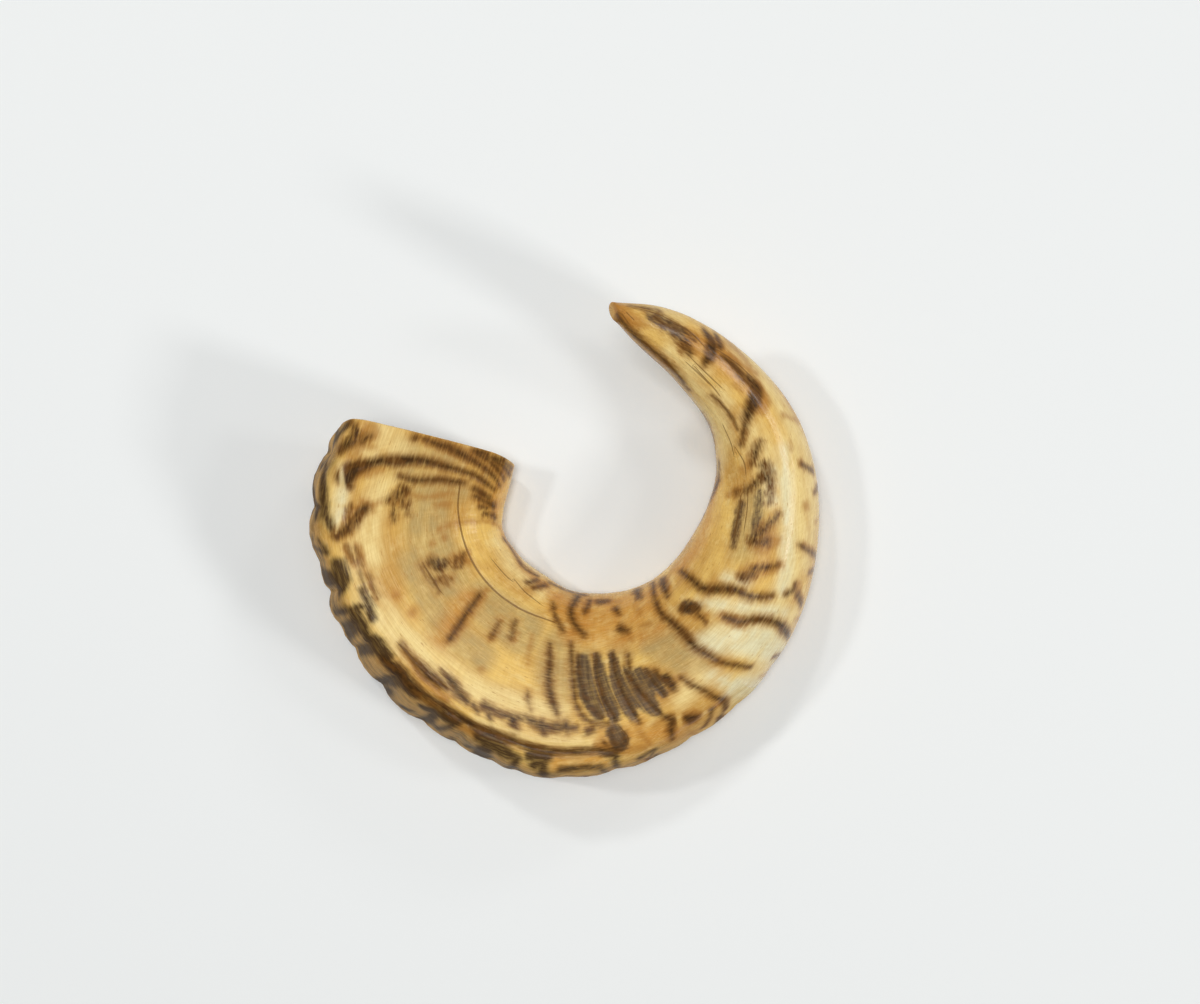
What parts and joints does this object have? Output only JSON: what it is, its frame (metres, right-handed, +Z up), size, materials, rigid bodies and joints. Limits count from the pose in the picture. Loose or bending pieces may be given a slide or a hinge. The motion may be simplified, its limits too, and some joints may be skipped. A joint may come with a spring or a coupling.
{
  "type": "polished ram horn",
  "caption": "Curled ram's horn lying on its side: three-sided and ridged at its hollow sawn base, round and rising to a blunt tip.",
  "frame": {"origin": "on the table, under the middle of the horn's outline seen from above", "axes": "+Z up from the table; +X across the curl, from the ridged keel of the base to the round bend; +Y towards the side where the sawn base and the tip both end"},
  "size_m": [0.2062, 0.1866, 0.0632],
  "materials": {
    "polished_horn": "polished natural horn: cream to honey with orange along the inner edge, grey translucent zones and dark brown streaks that follow the growth"
  },
  "bodies": {
    "root": {"horn": "polished_horn"}
  },
  "joints": []
}
